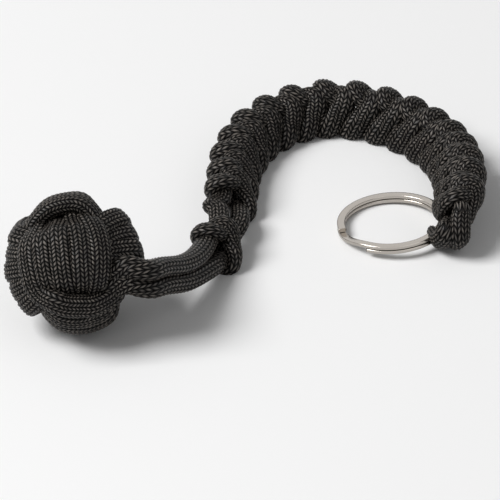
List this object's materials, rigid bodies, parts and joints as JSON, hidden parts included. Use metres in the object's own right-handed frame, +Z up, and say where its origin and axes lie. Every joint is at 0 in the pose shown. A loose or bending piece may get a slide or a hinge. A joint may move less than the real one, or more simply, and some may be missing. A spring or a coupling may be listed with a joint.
{
  "type": "monkey fist knot",
  "caption": "Monkey fist knot wound over a steel ball, on a black braided cord lanyard of snake knots with a split ring for keys.",
  "frame": {"origin": "On the surface it lies on, under the middle of its bounding box", "axes": "+Z up, +X from the fist towards the split ring, +Y from the split ring towards the arch of the sinnet"},
  "size_m": [0.1096, 0.1024, 0.032],
  "materials": {
    "cord": "matte braided nylon",
    "ball": "satin",
    "ring": "polished nickel"
  },
  "bodies": {
    "lanyard": {"stopper_knot_a": "cord", "stopper_knot_b": "cord", "link_left": "cord", "link_right": "cord", "sinnet_near_a": "cord", "sinnet_near_b": "cord", "sinnet_flex_a": "cord", "sinnet_flex_b": "cord"},
    "stem": {"stem_upper": "cord", "stem_lower": "cord"},
    "fist": {"core_ball": "ball", "first_turns": "cord", "second_turns": "cord", "third_turns": "cord"},
    "lanyard_end": {"sinnet_far_a": "cord", "sinnet_far_b": "cord", "ring_bight": "cord"},
    "ring": {"split_ring": "ring"}
  },
  "joints": [
    {"name": "stem_swing", "type": "hinge", "parent": "lanyard", "child": "stem", "pos_m": [-0.00814, -0.01445, 0], "axis": [0, 0, 1], "range_deg": [-35, 35], "deforming": ["stem_upper", "stem_lower"]},
    {"name": "fist_swing", "type": "hinge", "parent": "stem", "child": "fist", "pos_m": [-0.02444, -0.04455, 0], "axis": [0, 0, 1], "range_deg": [-25, 25], "deforming": ["stem_upper", "stem_lower"]},
    {"name": "sinnet_flex", "type": "hinge", "parent": "lanyard", "child": "lanyard_end", "pos_m": [0.02386, 0.04405, 0], "axis": [0, 0, 1], "range_deg": [-12, 12], "deforming": ["sinnet_flex_a", "sinnet_flex_b"]},
    {"name": "ring_turn", "type": "hinge", "parent": "lanyard_end", "child": "ring", "pos_m": [0.03306, 0.00345, 0.00105], "axis": [-0.0642, 0.0539, 0.9965], "continuous": true}
  ]
}
